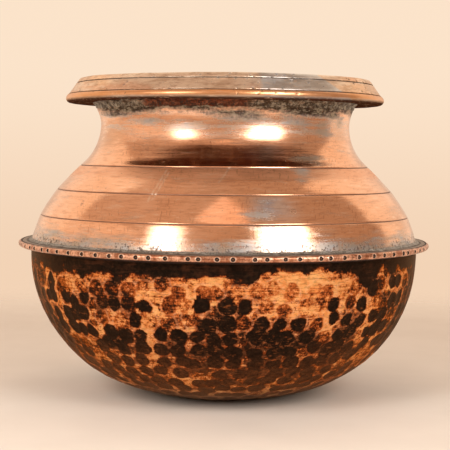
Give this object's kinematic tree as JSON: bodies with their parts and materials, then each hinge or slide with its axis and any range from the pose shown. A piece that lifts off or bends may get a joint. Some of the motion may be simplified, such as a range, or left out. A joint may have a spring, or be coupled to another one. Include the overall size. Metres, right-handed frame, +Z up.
{
  "type": "copper water pot",
  "caption": "Round-bottomed hammered copper water pot with a rolled and punched waist seam, a turned shoulder, a short hollow neck and a heavy cast lip.",
  "frame": {"origin": "centre of the flat foot, where the pot stands", "axes": "+Z up along the pot's axis of revolution; X and Y are level, and the side in the picture faces -Y"},
  "size_m": [0.28, 0.28, 0.2136],
  "materials": {
    "bowl_copper": "hammered copper with a dark brown patina in the hammer marks",
    "shell_copper": "polished reddish copper with fine turning lines",
    "lip_bronze": "cast and turned, worn, with small casting pits",
    "tin_solder": "dull grey tin, uneven"
  },
  "bodies": {
    "root": {"lower_bowl": "bowl_copper", "upper_shell": "shell_copper", "lip_ring": "lip_bronze", "seam_solder": "tin_solder", "lip_solder": "tin_solder"}
  },
  "joints": []
}
